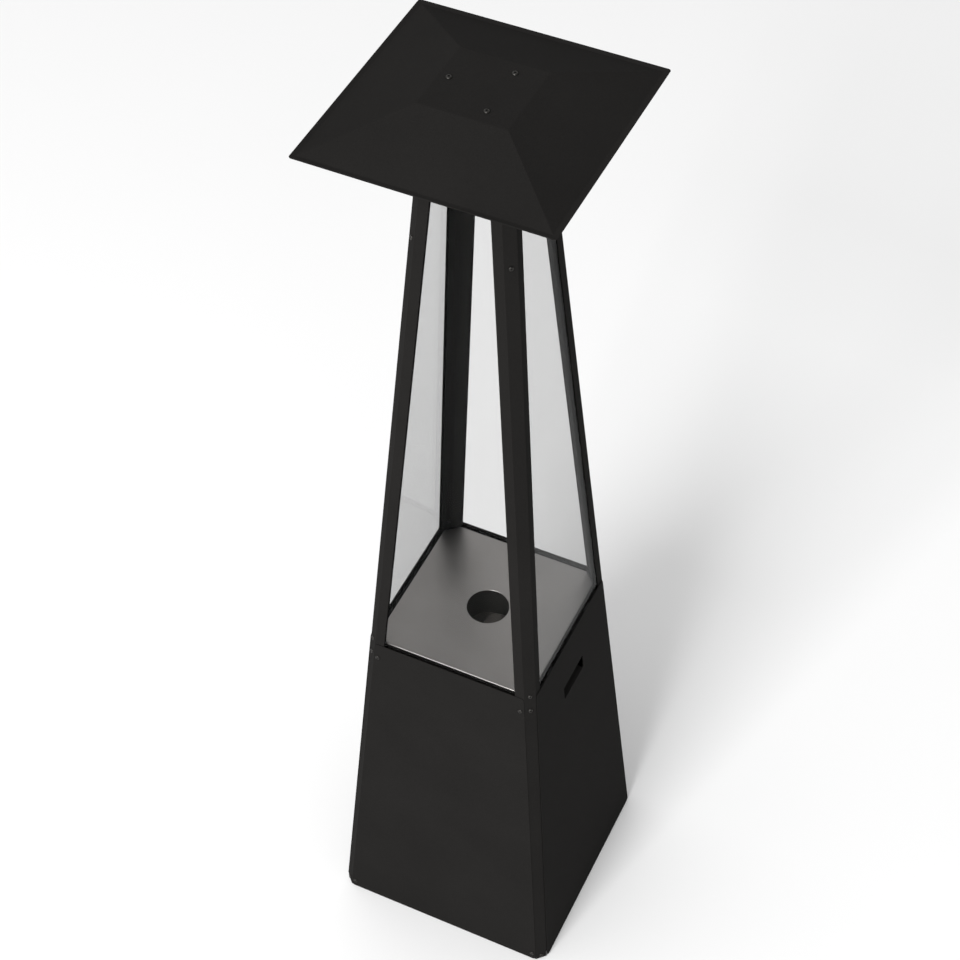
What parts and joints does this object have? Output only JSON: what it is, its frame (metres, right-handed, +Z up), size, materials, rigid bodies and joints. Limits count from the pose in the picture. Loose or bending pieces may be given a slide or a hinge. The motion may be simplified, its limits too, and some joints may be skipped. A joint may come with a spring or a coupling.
{
  "type": "outdoor gas heater",
  "caption": "Slim pyramid-shaped outdoor gas heater: black base with a bottle bay door, glass flame chamber over a steel deck, square hood.",
  "frame": {"origin": "middle of the footprint, on the floor under the feet", "axes": "+Z up, the access door faces +X, the fixed front panel faces -Y"},
  "size_m": [0.5004, 0.5012, 2.158],
  "materials": {
    "brushed_deck": "brushed stainless, slightly warm",
    "clear_glass": "clear tempered, 4 mm",
    "foot_rubber": "matt",
    "dark_screw": "blackened, satin",
    "burner_steel": "plain stainless",
    "gas_brass": "turned",
    "pipe_metal": "drawn tube",
    "lead_sleeve": "silicone sleeve",
    "spark_ceramic": "glazed",
    "control_plastic": "fine grain",
    "button_plastic": "polished",
    "magnet_steel": "nickel plated",
    "black_powder_coat": "fine textured powder coat, satin black"
  },
  "bodies": {
    "base": {"burner_cup": "burner_steel", "burner_head": "burner_steel", "control_plate": "black_powder_coat", "corner_screws": "dark_screw", "deck_plate": "brushed_deck", "deck_rail_front": "black_powder_coat", "deck_rail_left": "black_powder_coat", "deck_rail_rear": "black_powder_coat", "deck_rail_right": "black_powder_coat", "door_magnets": "magnet_steel", "door_sill": "black_powder_coat", "floor_tray": "black_powder_coat", "foot_front_left": "foot_rubber", "foot_front_right": "foot_rubber", "foot_rear_left": "foot_rubber", "foot_rear_right": "foot_rubber", "gas_inlet": "gas_brass", "gas_jet": "gas_brass", "gas_pipe": "pipe_metal", "gas_valve": "gas_brass", "glass_blocks": "foot_rubber", "glass_clamp_front_left": "black_powder_coat", "glass_clamp_front_right": "black_powder_coat", "glass_clamp_rear_left": "black_powder_coat", "glass_clamp_rear_right": "black_powder_coat", "glass_front": "clear_glass", "glass_left": "clear_glass", "glass_rear": "clear_glass", "glass_right": "clear_glass", "head_frame": "black_powder_coat", "hinge_pins": "burner_steel", "hood": "black_powder_coat", "hood_screws": "dark_screw", "hood_studs": "burner_steel", "igniter_body": "control_plastic", "igniter_spring": "burner_steel", "ignition_lead": "lead_sleeve", "mixer_tube": "burner_steel", "panel_front": "black_powder_coat", "panel_left": "black_powder_coat", "panel_rear": "black_powder_coat", "panel_screws": "dark_screw", "pilot_burner": "gas_brass", "pilot_tube": "pipe_metal", "post_front_left": "black_powder_coat", "post_front_right": "black_powder_coat", "post_rear_left": "black_powder_coat", "post_rear_right": "black_powder_coat", "sill_lug_front": "black_powder_coat", "sill_lug_rear": "black_powder_coat", "spark_electrode": "spark_ceramic", "thermocouple": "gas_brass", "thermocouple_lead": "pipe_metal", "tilt_switch": "control_plastic"},
    "door": {"access_door": "black_powder_coat", "door_lug_front": "black_powder_coat", "door_lug_rear": "black_powder_coat"},
    "spindle": {"valve_spindle": "burner_steel"},
    "knob": {"control_knob": "control_plastic"},
    "button": {"igniter_button": "button_plastic"}
  },
  "joints": [
    {"name": "door_tilt", "type": "hinge", "parent": "base", "child": "door", "pos_m": [0.23945, 0, 0.01939], "axis": [0, 1, 0], "range_deg": [0, 80]},
    {"name": "knob_press", "type": "slide", "parent": "base", "child": "spindle", "axis": [-1, 0, 0], "range_m": [0, 0.003], "stiffness_N_per_m": 600},
    {"name": "knob_turn", "type": "hinge", "parent": "spindle", "child": "knob", "pos_m": [0.12, 0, 0.76], "axis": [1, 0, 0], "range_deg": [0, 210]},
    {"name": "igniter_press", "type": "slide", "parent": "base", "child": "button", "axis": [-1, 0, 0], "range_m": [0, 0.006], "stiffness_N_per_m": 500}
  ]
}
